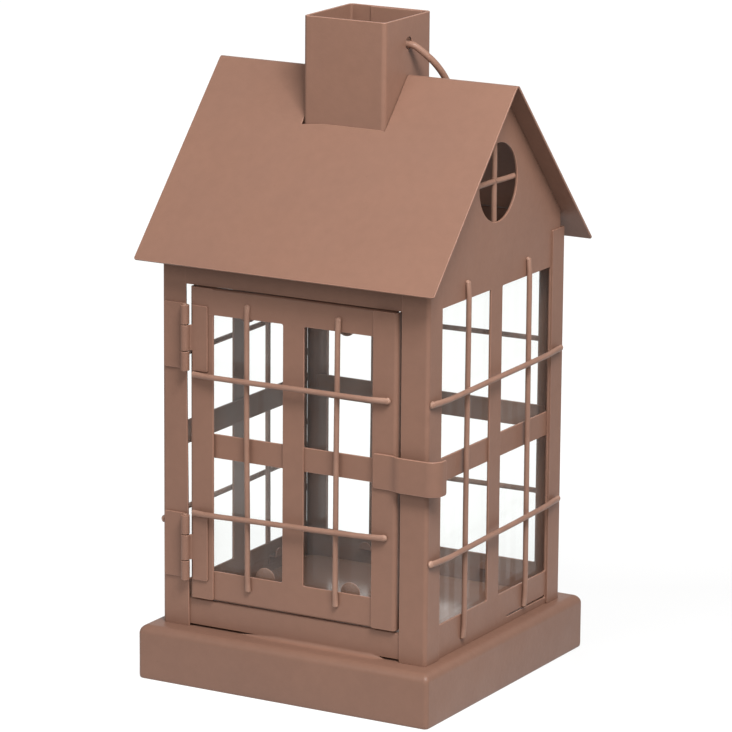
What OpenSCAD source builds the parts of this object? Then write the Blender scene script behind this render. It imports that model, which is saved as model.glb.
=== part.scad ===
// Square sheet-metal hanging lantern with a gabled roof, a square chimney, a folding
// ring bail and a front door on two butt hinges.
// Origin: centre of the foot of the base. +Z is up, the door faces -Y, the ridge runs along X.

/* [Base] */
// Width of the base pan, left to right
base_w = 120; // [110:1:140]
// Depth of the base pan, front to back
base_d = 119; // [110:1:140]
// Height of the base pan
base_h = 20; // [14:1:28]
// Thickness of the base pan's sheet
base_sheet = 1.2; // [0.8:0.1:2]
// Radius rolled along the pan's top edges
base_edge_r = 3.2; // [2:0.1:4]
// Radius of the pan's upright corners
base_corner_r = 2.2; // [1.8:0.1:4]
// Thickness of the loose floor plate
floor_sheet = 1.5; // [1:0.1:2]

/* [Body] */
// Width over the corner posts
body_w = 109; // [104:1:112]
// Depth over the corner posts
body_d = 102; // [98:1:106]
// Thickness of the body's sheet metal
sheet = 0.8; // [0.8:0.1:1.2]
// Width of each flange of a corner post
post_flange = 9.8; // [9:0.1:12]
// Width of the front flange of the post beside the door's free edge
latch_flange = 10.9; // [9:0.1:11]
// Height of the top of the posts above the ground
post_top_z = 160.5; // [158:0.5:161]
// Height of the lower edge of the wall windows
window_low_z = 32.5; // [30:0.5:36]
// Height of the upper edge of the wall windows
window_high_z = 147; // [140:0.5:150]
// Width of the upright bar down the middle of a wall
mullion_w = 8.6; // [6:0.1:12]
// Height of the flat strip across the middle of a wall
cross_rail_h = 8.8; // [6:0.1:12]
// Height of the middle of the cross rails
cross_rail_z = 88.4; // [80:0.1:96]

/* [Roof and chimney] */
// Length of the roof along the ridge
roof_len = 122; // [116:1:130]
// Plan distance from eave to eave
roof_span = 119.6; // [114:0.2:126]
// Height of the outer edge of the eaves
eave_z = 155.4; // [152:0.1:157]
// Rise of the roof's outer faces from the eaves to where they would meet
roof_rise = 65.6; // [60:0.1:72]
// Outer radius of the bend along the ridge
ridge_r = 1.8; // [1.5:0.1:4]
// Outside width of the square chimney
chimney_w = 33.4; // [30:0.1:36]
// Height of the top of the chimney
chimney_top_z = 240.8; // [238:0.1:246]
// Height of the lower end of the chimney, inside the roof
chimney_low_z = 196; // [194:0.5:198]
// Radius of the chimney's upright corners
chimney_corner_r = 2.6; // [1.5:0.1:4]
// Radius of the round window in each gable
gable_window_r = 14.2; // [10:0.1:16]
// Height of the middle of the gable windows
gable_window_z = 185.1; // [182:0.1:188]

/* [Wires] */
// Radius of the round guard wires
wire_r = 1; // [0.8:0.05:1.1]
// Height of the lower horizontal wires
low_wire_z = 58.5; // [56:0.1:64]
// Height of the upper horizontal wires
high_wire_z = 116.2; // [112:0.1:120]

/* [Bail] */
// Radius of the bail's wire
bail_wire_r = 1.25; // [1:0.05:1.5]
// Centreline radius of the bail's ring
bail_ring_r = 27; // [25:0.5:30]
// Height of the bail's pivot
bail_axis_z = 231; // [229:0.1:233]
// Radius of the pivot holes in the chimney
bail_hole_r = 2; // [1.8:0.05:2.4]

/* [Door] */
// Width of the door
door_w = 84.8; // [83:0.1:85]
// Height of the door's lower edge
door_low_z = 31.3; // [31:0.1:32]
// Height of the door's upper edge
door_high_z = 146.2; // [145:0.1:146.4]
// Thickness of the door's sheet metal
door_sheet = 0.8; // [0.6:0.1:1]
// Width of each folded stile
stile_w = 9.8; // [8:0.1:12]
// Height of the door's top rail
top_rail_h = 9.5; // [8:0.1:12]
// Height of the door's bottom rail
bottom_rail_h = 10.8; // [9:0.1:13]
// Height of the door's lower horizontal wire
door_low_wire_z = 64.2; // [64:0.1:68]
// Height of the door's upper horizontal wire
door_high_wire_z = 114.5; // [110:0.1:114.6]

/* [Hinges] */
// Height of each hinge
hinge_h = 24; // [20:0.5:24]
// Height of the lower end of the lower hinge
low_hinge_z = 38.3; // [36:0.1:39]
// Height of the lower end of the upper hinge
high_hinge_z = 115.7; // [115.7:0.1:118]
// Outer radius of the hinge knuckles
knuckle_r = 1.6; // [1.5:0.05:1.8]
// Radius of the hinge pins
pin_r = 0.8; // [0.7:0.05:0.9]
// Thickness of the hinge leaves
leaf_t = 0.8; // [0.6:0.05:0.9]

/* [Glass] */
// Thickness of the panes
glass_t = 2; // [1.5:0.1:3]
// Width of the door's pane-holding tabs, twice the radius of their round ends
tab_w = 8; // [6:0.5:10]

/* [Latch] */
// Height of the spring clip
clip_h = 12.7; // [10:0.1:16]
// Height of the clip's lower edge
clip_low_z = 82.7; // [78:0.1:88]
// Thickness of the clip's strip
clip_t = 0.9; // [0.7:0.1:1]

/* [Hidden] */
$fn = 48;

paint = [0.53, 0.41, 0.36];
pane = [0.85, 0.9, 0.9, 0.35];

// Small gaps between pieces that are assembled side by side
touch_gap = 0.1;
// Half sizes of the body
half_w = body_w / 2;
half_d = body_d / 2;
// Outer radius of the bend down each post
post_bend_r = 1.5;
// Inner faces of the post flanges, which the wall sheets lie against
wall_face_x = half_w - sheet;
wall_face_y = half_d - sheet;
// Half widths of the windows, from post to post
side_window_half = half_d - post_flange;
back_window_half = half_w - post_flange;
// Sheets stop short of the bend inside a post
side_sheet_half = wall_face_y - 0.6;
cross_sheet_half = wall_face_x - sheet - touch_gap;

// Roof: pitch, the height where the outer faces would meet, and the underside there
roof_pitch = atan(roof_rise / (roof_span / 2));
roof_apex_z = eave_z + roof_rise;
underside_apex_z = roof_apex_z - sheet / cos(roof_pitch);
roof_slope = tan(roof_pitch);
bend_z = roof_apex_z - ridge_r / cos(roof_pitch);
slope_len = (roof_span / 2) / cos(roof_pitch) - ridge_r * roof_slope;
wall_top_z = underside_apex_z - roof_slope * wall_face_y - touch_gap;

// Lower edges of the sheets that hang a little above the base
sill_gap = 0.8;
sill_top_z = door_low_z - 0.7;
sill_return = 3.2;
header_low_z = door_high_z + 0.45;

// The sill's top edge is folded back between the posts
sill_return_half = half_w - latch_flange;

// Slot left along the foot of the right wall, open where its sheet isn't welded
slot_h = 0.8;
slot_z = base_h + 2.5;
slot_start_y = 11;
slot_end_y = 40;

// Wires: how far from the middle, and how far they reach
wire_off_side = 23;
wire_off_back = 25.6;
wire_off_door = 18.3;
wall_wire_low_z = 23.4;
wall_wire_high_z = 153.8;
side_wire_half = 48.5;
back_wire_half = 52;
door_wire_half = 40.2;
door_wire_low_z = 36.6;
door_wire_high_z = 141.9;
gable_bar_half = 17;

// Glass sits behind the cross rails and laps the windows by this much
glass_lap = 4.6;
tab_t = 0.6;
tab_foot_h = 3.8;
door_tab_low_reach = 3.1;
door_tab_high_reach = 2.2;
wall_tab_w = 5;
wall_tab_reach = -1.9;

// Door layers, from the front: stile, rail, cross rail, glass
door_half = door_w / 2;
rail_front_y = -half_d;
rail_back_y = rail_front_y + door_sheet;
door_cross_back_y = rail_back_y + door_sheet;
stile_front_y = rail_front_y - door_sheet;
stile_side = 4.2;
stile_bend_r = 1.5;
rail_return = 3.2;
rail_half = door_half - stile_bend_r - 0.1;
door_pane_low_z = door_low_z + bottom_rail_h;
door_pane_high_z = door_high_z - top_rail_h;
door_glass_half = 38;
door_tabs_low_x = [-13.7, 21.5];
door_tabs_high_x = [-21.5, 19];

// Hinge axis, in the gap between the left post and the door
hinge_x = -43.2;
hinge_y = rail_front_y - 2.7;
post_leaf_end_x = -53.2;
door_leaf_end_x = -34.6;
end_knuckle_h = 7;
knuckle_gap = 0.35;
pin_run_clearance = 0.05;
pin_set_clearance = 0.02;

// Bail: pin reach, elbow and ring, and the tilt at which the ring rests above the roof
bail_pin_in_x = 13.4;
bail_pin_out_x = chimney_w / 2 + 0.8;
bail_elbow_r = 3;
bail_turn = asin(bail_pin_out_x / (bail_ring_r - bail_elbow_r));
bail_ring_y = bail_elbow_r + (bail_ring_r - bail_elbow_r) * cos(bail_turn);
bail_reach = bail_ring_y + bail_ring_r;
bail_lift = bail_wire_r + 0.35;
bail_to_roof = (bail_axis_z - roof_apex_z) * cos(roof_pitch);
bail_rest_tilt = roof_pitch + asin((bail_to_roof - bail_lift) / bail_reach);
bail_bead_r = bail_wire_r + 0.05;
bail_hole_rise = 0.3;

// Latch clip: the strip's middle line, as straights and arcs
clip_start_x = 33.5;
clip_bend_x = 39.5;
clip_bend_len = 6;
clip_step = 1.65;
clip_corner_x = 55.3;
clip_corner_r = 4.4;
clip_tail = 2.2;
clip_mid_y = stile_front_y - clip_t / 2;
clip_bend_angle = 2 * atan(clip_step / clip_bend_len);
clip_bend_r = clip_bend_len / (2 * sin(clip_bend_angle));
clip_bend_end_x = clip_bend_x + clip_bend_len;
clip_out_y = clip_mid_y - clip_step;

// ---------- shared shapes ----------

// Points along an arc, round a centre
function arc(centre, r, from, to, steps) =
    [for (i = [0:steps]) centre + r * [cos(from + (to - from) * i / steps),
                                       sin(from + (to - from) * i / steps)]];

// Rectangle centred on x = 0 with round corners
module round_rect(w, d, r) {
    square([w - 2 * r, d], center = true);
    square([w, d - 2 * r], center = true);
    for (sx = [-1, 1], sy = [-1, 1])
        translate([sx * (w / 2 - r), sy * (d / 2 - r)]) circle(r);
}

// Side view of a block with its two upper corners rounded
module arch_profile(w, h, r) {
    translate([-w / 2, 0]) square([w, h - r]);
    translate([-w / 2 + r, 0]) square([w - 2 * r, h]);
    for (s = [-1, 1]) translate([s * (w / 2 - r), h - r]) circle(r);
}

// Block with rolled top edges and round upright corners
module pan_block(w, d, h, edge_r, corner_r) {
    intersection() {
        linear_extrude(h) round_rect(w, d, corner_r);
        translate([0, d, 0]) rotate([90, 0, 0]) linear_extrude(2 * d) arch_profile(w, h, edge_r);
        translate([-w, 0, 0]) rotate([90, 0, 90]) linear_extrude(2 * w) arch_profile(d, h, edge_r);
    }
}

// Part of a ring between two angles less than 180 degrees apart
module ring_sector(r_in, r_out, from, to) {
    reach = 3 * r_out;
    middle = (from + to) / 2;
    intersection() {
        difference() {
            circle(r_out);
            circle(r_in);
        }
        polygon([
            [0, 0],
            reach * [cos(from), sin(from)],
            reach * [cos(middle), sin(middle)],
            reach * [cos(to), sin(to)]
        ]);
    }
}

// Section of an angle whose outer corner is at the origin, flanges along +x and +y
module angle_section(flange, t, r, side) {
    translate([r, 0]) square([flange - r, t]);
    translate([0, r]) square([t, side - r]);
    translate([r, r]) ring_sector(r - t, r, 180, 270);
}

// Upright box given by its ranges
module span(x0, x1, y0, y1, z0, z1) {
    translate([x0, y0, z0]) cube([x1 - x0, y1 - y0, z1 - z0]);
}

// Round wire along X, centred on x = 0
module wire_x(half, r = wire_r) {
    rotate([0, 90, 0]) cylinder(r = r, h = 2 * half, center = true);
}

// A wall is drawn facing -Y with its outer sheet face at y = 0, then put in its place
module at_right() {
    translate([wall_face_x, 0, 0]) rotate([0, 0, 90]) children();
}
module at_left() {
    mirror([1, 0, 0]) at_right() children();
}
module at_back() {
    translate([0, wall_face_y, 0]) rotate([0, 0, 180]) children();
}

// Wall sheet's two tall windows, side by side
module window_pair(half) {
    for (s = [-1, 1]) {
        inner = s * mullion_w / 2;
        outer = s * half;
        span(min(inner, outer), max(inner, outer), -1, sheet + 1, window_low_z, window_high_z);
    }
}

// Flat strip across the inside of a wall sheet
module cross_strip(half) {
    span(-half, half, sheet, 2 * sheet,
         cross_rail_z - cross_rail_h / 2, cross_rail_z + cross_rail_h / 2);
}

// Two upright wires lying on the outside of a wall sheet
module upright_wires(off, low, high) {
    for (s = [-1, 1])
        translate([s * off, -wire_r, low]) cylinder(r = wire_r, h = high - low);
}

// Two level wires lying on the upright ones
module level_wires(half, low, high) {
    for (z = [low, high]) translate([0, -3 * wire_r, z]) wire_x(half);
}

// Pane behind the cross strip
module wall_pane(half) {
    span(-half, half, 2 * sheet, 2 * sheet + glass_t,
         window_low_z - glass_lap, window_high_z + glass_lap);
}

// One bent tab: foot on a sheet at y = 0, step over the pane's edge at z = 0, round tongue
module pane_tab(depth, reach, width) {
    half = width / 2;
    tongue = reach + glass_lap - half;
    span(-half, half, 0, tab_t, -tab_foot_h, -touch_gap);
    span(-half, half, 0, depth + tab_t, -touch_gap - tab_t, -touch_gap);
    span(-half, half, depth, depth + tab_t, -touch_gap - tab_t, tongue);
    translate([0, depth + tab_t, tongue]) rotate([90, 0, 0]) cylinder(r = half, h = tab_t);
}

// Tabs along the lower and upper edges of a wall's pane, short of the window
module wall_tabs(off) {
    depth = sheet + glass_t + touch_gap / 2;
    for (s = [-1, 1], up = [0, 1])
        translate([s * off, sheet, up ? window_high_z + glass_lap : window_low_z - glass_lap])
            mirror([0, 0, up]) pane_tab(depth, wall_tab_reach, wall_tab_w);
}

// ---------- base and frame ----------

module base_pan() {
    color(paint) difference() {
        pan_block(base_w, base_d, base_h, base_edge_r, base_corner_r);
        translate([0, 0, -1])
            pan_block(base_w - 2 * base_sheet, base_d - 2 * base_sheet, base_h - base_sheet + 1,
                      base_edge_r - base_sheet, base_corner_r - base_sheet);
    }
}

module floor_plate() {
    floor_w = 2 * (cross_sheet_half - 0.8);
    floor_d = 2 * (wall_face_y - sheet - 0.9);
    color(paint) translate([0, 0, base_h]) linear_extrude(floor_sheet)
        round_rect(floor_w, floor_d, 5);
}

module post(sx, sy, front_flange = post_flange) {
    color(paint) translate([sx * half_w, sy * half_d, base_h])
        mirror([sx > 0 ? 1 : 0, 0, 0]) mirror([0, sy > 0 ? 1 : 0, 0])
            linear_extrude(post_top_z - base_h)
                angle_section(front_flange, sheet, post_bend_r, post_flange);
}

module front_header() {
    color(paint) span(-cross_sheet_half, cross_sheet_half, -wall_face_y, -wall_face_y + sheet,
                      header_low_z, wall_top_z);
}

module front_sill() {
    color(paint) {
        span(-cross_sheet_half, cross_sheet_half, -wall_face_y, -wall_face_y + sheet,
             base_h + sill_gap, sill_top_z);
        span(-sill_return_half, sill_return_half, -wall_face_y, -wall_face_y + sill_return,
             sill_top_z - sheet, sill_top_z);
    }
}

// Side wall sheet: windows below, gable with a round window above
module gable_sheet() {
    half = side_sheet_half;
    shoulder_z = underside_apex_z - roof_slope * half - touch_gap;
    difference() {
        translate([0, sheet, 0]) rotate([90, 0, 0]) linear_extrude(sheet)
            polygon([
                [-half, base_h], [half, base_h], [half, shoulder_z],
                [0, underside_apex_z - touch_gap], [-half, shoulder_z]
            ]);
        window_pair(side_window_half);
        translate([0, -1, gable_window_z]) rotate([-90, 0, 0])
            cylinder(r = gable_window_r, h = sheet + 2);
    }
}

module right_wall() {
    color(paint) difference() {
        at_right() gable_sheet();
        span(half_w - 3 * sheet, half_w, slot_start_y, slot_end_y, slot_z, slot_z + slot_h);
    }
}

module left_wall() {
    color(paint) at_left() gable_sheet();
}

module back_wall() {
    color(paint) at_back() difference() {
        span(-cross_sheet_half, cross_sheet_half, 0, sheet, base_h, wall_top_z);
        window_pair(back_window_half);
    }
}

module side_cross_rail() {
    cross_strip(side_window_half + 5);
}

module right_cross_rail() {
    color(paint) at_right() side_cross_rail();
}

module left_cross_rail() {
    color(paint) at_left() side_cross_rail();
}

module back_cross_rail() {
    color(paint) at_back() cross_strip(back_window_half + 4);
}

// ---------- wires ----------

module right_wires_vertical() {
    color(paint) at_right() upright_wires(wire_off_side, wall_wire_low_z, wall_wire_high_z);
}

module right_wires_horizontal() {
    color(paint) at_right() level_wires(side_wire_half, low_wire_z, high_wire_z);
}

module left_wires_vertical() {
    color(paint) at_left() upright_wires(wire_off_side, wall_wire_low_z, wall_wire_high_z);
}

module left_wires_horizontal() {
    color(paint) at_left() level_wires(side_wire_half, low_wire_z, high_wire_z);
}

module back_wires_vertical() {
    color(paint) at_back() upright_wires(wire_off_back, wall_wire_low_z, wall_wire_high_z);
}

module back_wires_horizontal() {
    color(paint) at_back() level_wires(back_wire_half, low_wire_z, high_wire_z);
}

// Crossed bars against the inside of the sheet, behind a round window
module crossed_bars() {
    translate([0, sheet + wire_r, gable_window_z]) {
        translate([0, 0, -gable_bar_half]) cylinder(r = wire_r, h = 2 * gable_bar_half);
        wire_x(gable_bar_half);
    }
}

module right_gable_bars() {
    color(paint) at_right() crossed_bars();
}

module left_gable_bars() {
    color(paint) at_left() crossed_bars();
}

// ---------- glass ----------

module right_glass() {
    color(pane) at_right() wall_pane(side_window_half + 4);
}

module left_glass() {
    color(pane) at_left() wall_pane(side_window_half + 4);
}

module back_glass() {
    color(pane) at_back() wall_pane(back_window_half + 2);
}

module right_glass_tabs() {
    color(paint) at_right() wall_tabs(wire_off_side);
}

module left_glass_tabs() {
    color(paint) at_left() wall_tabs(wire_off_side);
}

module back_glass_tabs() {
    color(paint) at_back() wall_tabs(wire_off_back);
}

// ---------- roof and chimney ----------

// One side of the folded sheet, from eave to eave over a bend of radius r
function roof_face(r) =
    let (down = slope_len * [cos(roof_pitch), -sin(roof_pitch)],
         start = [0, bend_z] + r * [sin(roof_pitch), cos(roof_pitch)] + down)
    concat([start], arc([0, bend_z], r, 90 - roof_pitch, 90 + roof_pitch, 12),
           [[-start[0], start[1]]]);

module roof_section() {
    outer = roof_face(ridge_r);
    inner = roof_face(ridge_r - sheet);
    last = len(inner) - 1;
    polygon(concat(outer, [for (i = [0:last]) inner[last - i]]));
}

module roof() {
    color(paint) difference() {
        translate([-roof_len / 2, 0, 0]) rotate([90, 0, 90])
            linear_extrude(roof_len) roof_section();
        translate([-chimney_w / 2 - 0.3, -chimney_w / 2 - 0.1, eave_z])
            cube([chimney_w + 0.6, chimney_w + 0.2, roof_rise + 10]);
    }
}

module chimney() {
    color(paint) difference() {
        translate([0, 0, chimney_low_z]) linear_extrude(chimney_top_z - chimney_low_z)
            difference() {
                round_rect(chimney_w, chimney_w, chimney_corner_r);
                round_rect(chimney_w - 2 * sheet, chimney_w - 2 * sheet, chimney_corner_r - sheet);
            }
        translate([0, 0, bail_axis_z + bail_hole_rise]) wire_x(chimney_w, bail_hole_r);
    }
}

// ---------- bail ----------

// Ring lying flat, its pins along x and its far side towards +y; small beads join the bends
module bail_flat() {
    for (s = [-1, 1]) mirror([s < 0 ? 1 : 0, 0, 0]) {
        translate([bail_pin_out_x, 0, 0]) sphere(bail_bead_r);
        translate([bail_ring_r * cos(bail_turn - 90),
                   bail_ring_y + bail_ring_r * sin(bail_turn - 90), 0]) sphere(bail_bead_r);
        translate([bail_pin_in_x, 0, 0]) rotate([0, 90, 0])
            cylinder(r = bail_wire_r, h = bail_pin_out_x - bail_pin_in_x);
        translate([bail_pin_out_x, bail_elbow_r, 0]) rotate([0, 0, -90])
            rotate_extrude(angle = bail_turn) translate([bail_elbow_r, 0]) circle(bail_wire_r);
    }
    translate([0, bail_ring_y, 0]) rotate([0, 0, bail_turn - 90])
        rotate_extrude(angle = 360 - 2 * bail_turn)
            translate([bail_ring_r, 0]) circle(bail_wire_r);
}

module bail_handle() {
    color(paint) translate([0, 0, bail_axis_z]) rotate([-bail_rest_tilt, 0, 0]) bail_flat();
}

// ---------- hinges ----------

module knuckle(low, high, bore_r) {
    translate([hinge_x, hinge_y, low]) linear_extrude(high - low) difference() {
        circle(knuckle_r);
        circle(bore_r);
    }
}

// Strip that joins a leaf to a knuckle, on the side s of the axis, back to back_y
module knuckle_web(s, back_y, low, high) {
    x0 = hinge_x + s * knuckle_r;
    x1 = hinge_x + s * (pin_r + 0.15);
    span(min(x0, x1), max(x0, x1), hinge_y, back_y, low, high);
}

// Leaf on the post, with the two end knuckles
module post_leaf(low) {
    high = low + hinge_h;
    bore_r = pin_r + pin_set_clearance;
    color(paint) {
        span(post_leaf_end_x, hinge_x - knuckle_r + leaf_t,
             rail_front_y - leaf_t, rail_front_y, low, high);
        for (z = [low, high - end_knuckle_h]) difference() {
            union() {
                knuckle(z, z + end_knuckle_h, bore_r);
                knuckle_web(-1, rail_front_y, z, z + end_knuckle_h);
            }
            translate([hinge_x, hinge_y, z - 1]) cylinder(r = bore_r, h = end_knuckle_h + 2);
        }
    }
}

// Leaf on the door, with the middle knuckle
module door_leaf(low) {
    mid_low = low + end_knuckle_h + knuckle_gap;
    mid_high = low + hinge_h - end_knuckle_h - knuckle_gap;
    bore_r = pin_r + pin_run_clearance;
    color(paint) {
        span(hinge_x + knuckle_r, door_leaf_end_x,
             stile_front_y - leaf_t, stile_front_y, low, low + hinge_h);
        difference() {
            union() {
                knuckle(mid_low, mid_high, bore_r);
                knuckle_web(1, stile_front_y, mid_low, mid_high);
            }
            translate([hinge_x, hinge_y, mid_low - 1])
                cylinder(r = bore_r, h = mid_high - mid_low + 2);
        }
    }
}

module hinge_pin(low) {
    overhang = 0.3;
    color(paint) translate([hinge_x, hinge_y, low - overhang])
        cylinder(r = pin_r, h = hinge_h + 2 * overhang);
}

// ---------- door ----------

// Section of the right stile: its face lies on the rails, its side turns back past their ends
module stile_section() {
    translate([door_half, stile_front_y]) mirror([1, 0])
        angle_section(stile_w, door_sheet, stile_bend_r, stile_side);
}

module door_right_stile() {
    color(paint) translate([0, 0, door_low_z])
        linear_extrude(door_high_z - door_low_z) stile_section();
}

module door_left_stile() {
    color(paint) mirror([1, 0, 0]) translate([0, 0, door_low_z])
        linear_extrude(door_high_z - door_low_z) stile_section();
}

// The top rail's upper edge is folded back, under the header
module door_top_rail() {
    color(paint) {
        span(-rail_half, rail_half, rail_front_y, rail_back_y, door_pane_high_z, door_high_z);
        span(-rail_half, rail_half, rail_front_y, rail_front_y + rail_return,
             door_high_z - door_sheet, door_high_z);
    }
}

// The bottom rail's lower edge is folded back, over the sill
module door_bottom_rail() {
    color(paint) {
        span(-rail_half, rail_half, rail_front_y, rail_back_y, door_low_z, door_pane_low_z);
        span(-rail_half, rail_half, rail_front_y, rail_front_y + rail_return,
             door_low_z, door_low_z + door_sheet);
    }
}

module door_mullion() {
    color(paint) span(-mullion_w / 2, mullion_w / 2, rail_front_y, rail_back_y,
                      door_pane_low_z, door_pane_high_z);
}

module door_cross_rail() {
    color(paint) span(-rail_half, rail_half, rail_back_y, door_cross_back_y,
                      cross_rail_z - cross_rail_h / 2, cross_rail_z + cross_rail_h / 2);
}

module door_wires_vertical() {
    color(paint) translate([0, rail_front_y, 0])
        upright_wires(wire_off_door, door_wire_low_z, door_wire_high_z);
}

module door_wires_horizontal() {
    color(paint) translate([0, rail_front_y, 0])
        level_wires(door_wire_half, door_low_wire_z, door_high_wire_z);
}

module door_glass() {
    color(pane) span(-door_glass_half, door_glass_half,
                     door_cross_back_y, door_cross_back_y + glass_t,
                     door_pane_low_z - glass_lap, door_pane_high_z + glass_lap);
}

module door_glass_tabs() {
    depth = door_sheet + glass_t + touch_gap / 2;
    color(paint) {
        for (x = door_tabs_low_x)
            translate([x, rail_back_y, door_pane_low_z - glass_lap])
                pane_tab(depth, door_tab_low_reach, tab_w);
        for (x = door_tabs_high_x)
            translate([x, rail_back_y, door_pane_high_z + glass_lap])
                mirror([0, 0, 1]) pane_tab(depth, door_tab_high_reach, tab_w);
    }
}

// ---------- latch ----------

// One face of the strip, off to the side of its middle line: flat on the stile, a step out
// past the post, straight across it, then round its corner and back
function clip_face(off) = concat(
    [[clip_start_x, clip_mid_y - off]],
    arc([clip_bend_x, clip_mid_y - clip_bend_r], clip_bend_r - off, 90, 90 - clip_bend_angle, 6),
    arc([clip_bend_end_x, clip_out_y + clip_bend_r], clip_bend_r + off,
        270 - clip_bend_angle, 270, 6),
    arc([clip_corner_x, clip_out_y + clip_corner_r], clip_corner_r + off,
        -90, 0, 18),
    [[clip_corner_x + clip_corner_r + off, clip_out_y + clip_corner_r + clip_tail]]
);

module clip_path() {
    outer = clip_face(clip_t / 2);
    inner = clip_face(-clip_t / 2);
    last = len(inner) - 1;
    polygon(concat(outer, [for (i = [0:last]) inner[last - i]]));
}

module latch_clip() {
    color(paint) translate([0, 0, clip_low_z]) linear_extrude(clip_h) clip_path();
}

// ---------- assembly ----------

base_pan();
floor_plate();
post(-1, -1);  // post_front_left
post(1, -1, latch_flange);  // post_front_right
post(-1, 1);  // post_back_left
post(1, 1);  // post_back_right
front_header();
front_sill();
right_wall();
left_wall();
back_wall();
right_cross_rail();
left_cross_rail();
back_cross_rail();
right_wires_vertical();
right_wires_horizontal();
left_wires_vertical();
left_wires_horizontal();
back_wires_vertical();
back_wires_horizontal();
right_glass();
left_glass();
back_glass();
right_glass_tabs();
left_glass_tabs();
back_glass_tabs();
right_gable_bars();
left_gable_bars();
roof();
chimney();
post_leaf(high_hinge_z);  // upper_hinge_post_leaf
post_leaf(low_hinge_z);  // lower_hinge_post_leaf
hinge_pin(high_hinge_z);  // upper_hinge_pin
hinge_pin(low_hinge_z);  // lower_hinge_pin
door_leaf(high_hinge_z);  // upper_hinge_door_leaf
door_leaf(low_hinge_z);  // lower_hinge_door_leaf
door_left_stile();
door_right_stile();
door_top_rail();
door_bottom_rail();
door_mullion();
door_cross_rail();
door_wires_vertical();
door_wires_horizontal();
door_glass();
door_glass_tabs();
latch_clip();
bail_handle();
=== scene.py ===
import math

import bmesh
import bpy
from mathutils import Matrix, Vector, noise


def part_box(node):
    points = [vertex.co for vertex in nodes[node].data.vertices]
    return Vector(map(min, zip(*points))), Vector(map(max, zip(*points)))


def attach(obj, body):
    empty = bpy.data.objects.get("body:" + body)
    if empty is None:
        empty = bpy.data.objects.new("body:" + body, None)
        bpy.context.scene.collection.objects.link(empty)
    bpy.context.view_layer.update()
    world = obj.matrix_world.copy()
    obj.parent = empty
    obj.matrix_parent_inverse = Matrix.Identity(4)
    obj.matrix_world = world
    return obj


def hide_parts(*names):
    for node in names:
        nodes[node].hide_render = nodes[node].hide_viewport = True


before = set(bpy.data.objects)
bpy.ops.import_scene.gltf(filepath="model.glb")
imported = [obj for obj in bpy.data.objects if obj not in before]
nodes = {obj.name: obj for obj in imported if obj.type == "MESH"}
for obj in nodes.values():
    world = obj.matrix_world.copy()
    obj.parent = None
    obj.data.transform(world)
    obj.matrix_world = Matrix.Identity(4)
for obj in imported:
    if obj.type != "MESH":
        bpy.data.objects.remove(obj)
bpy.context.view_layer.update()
scene = bpy.context.scene
MM = 0.001


def extent(node):
    """The corners of a node's box, in mm."""
    low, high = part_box(node)
    return [c / MM for c in low], [c / MM for c in high]


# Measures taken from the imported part, in mm
wall_lo, wall_hi = extent("right_wall")
back_lo, back_hi = extent("back_wall")
post_lo, post_hi = extent("post_back_right")
front_lo, front_hi = extent("post_front_right")
roof_lo, roof_hi = extent("roof")
_, pan_hi = extent("base_pan")
flue_lo, flue_hi = extent("chimney")
head_lo, head_hi = extent("front_header")
sill_lo, sill_hi = extent("front_sill")
floor_lo, floor_hi = extent("floor_plate")
SHEET = wall_hi[0] - wall_lo[0]
HALF_W, HALF_D = post_hi[0], post_hi[1]
FACE_X, FACE_Y = wall_hi[0], back_hi[1]
FLANGE = HALF_W - post_lo[0]
DOOR_Y = extent("door_top_rail")[0][1]

# Measures that no box gives, in mm
WINDOW_LOW, WINDOW_HIGH = 32.5, 147.0
MULLION_HALF = 4.3
PANE_LAP = 4.6
GABLE_WINDOW_Z, GABLE_WINDOW_R = 185.1, 14.2
ROOF_RISE, RIDGE_R = 65.6, 1.8
WIRE_R, BAIL_WIRE_R = 1.0, 1.25
WIRE_OFF = {"right": 23, "left": 23, "back": 25.6, "door": 18.3}
BAIL_AXIS_Z, BAIL_HOLE_R = 231.0, 2.3
PIN_R, KNUCKLE_R = 0.8, 1.6
DOOR_SHEET, CLIP_SHEET = 0.8, 0.9
BEND_R = 1.5

# Angles in degrees
GABLE_SLOPE = 47.65
SHARP_ANGLE = 50
VIEW_TURN, VIEW_RISE, VIEW_ROLL = 29.68, 13.48, 0.45

# How much a rounded edge counts in the shading normals beside it
EDGE_WEIGHT = 0.001

# ---------------------------------------------------------------- camera


def make_camera():
    """Long lens, from the front and right, a little above the lantern."""
    az, el, roll = (math.radians(angle) for angle in (VIEW_TURN, VIEW_RISE, VIEW_ROLL))
    back = Vector((math.sin(az) * math.cos(el), -math.cos(az) * math.cos(el), math.sin(el)))
    x = Vector((0, 0, 1)).cross(back).normalized()
    y = back.cross(x)
    right = math.cos(roll) * x + math.sin(roll) * y
    up = -math.sin(roll) * x + math.cos(roll) * y
    cam = bpy.data.cameras.new("camera")
    cam.sensor_width = 36
    cam.lens = 221.87
    cam.clip_start, cam.clip_end = 0.05, 20
    obj = bpy.data.objects.new("camera", cam)
    scene.collection.objects.link(obj)
    m = Matrix.Identity(4)
    for i in range(3):
        m[i][0], m[i][1], m[i][2] = right[i], up[i], back[i]
    m.translation = Vector((0.78708, -1.38027, 0.49259))
    obj.matrix_world = m
    scene.camera = obj


make_camera()

# ---------------------------------------------------------------- materials


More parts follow.
